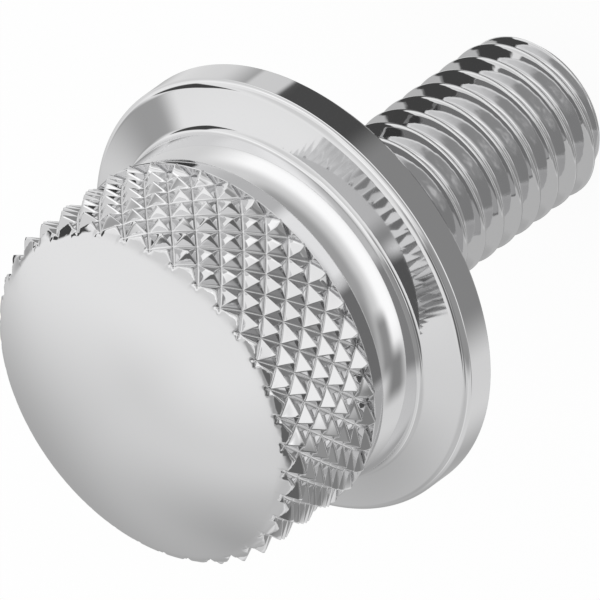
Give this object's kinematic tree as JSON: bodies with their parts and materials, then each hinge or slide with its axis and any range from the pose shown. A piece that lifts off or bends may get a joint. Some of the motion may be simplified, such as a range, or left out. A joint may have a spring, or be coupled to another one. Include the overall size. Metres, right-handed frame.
{
  "type": "seat knob",
  "caption": "Round chrome-plated thumb screw with a domed, diamond-knurled head, a collar, a wide flange and a coarse metric thread.",
  "frame": {"origin": "centre of the flange's flat underside, which seats when the knob is screwed down", "axes": "+Z along the screw axis towards the domed head, so the screw points down"},
  "size_m": [0.021, 0.021, 0.0291],
  "materials": {
    "chrome_plate": "bright chrome plate over turned steel, smooth on the dome and flange, crisp on the knurl, with fine plating grain in the thread"
  },
  "bodies": {
    "root": {"seat_knob": "chrome_plate"}
  },
  "joints": []
}
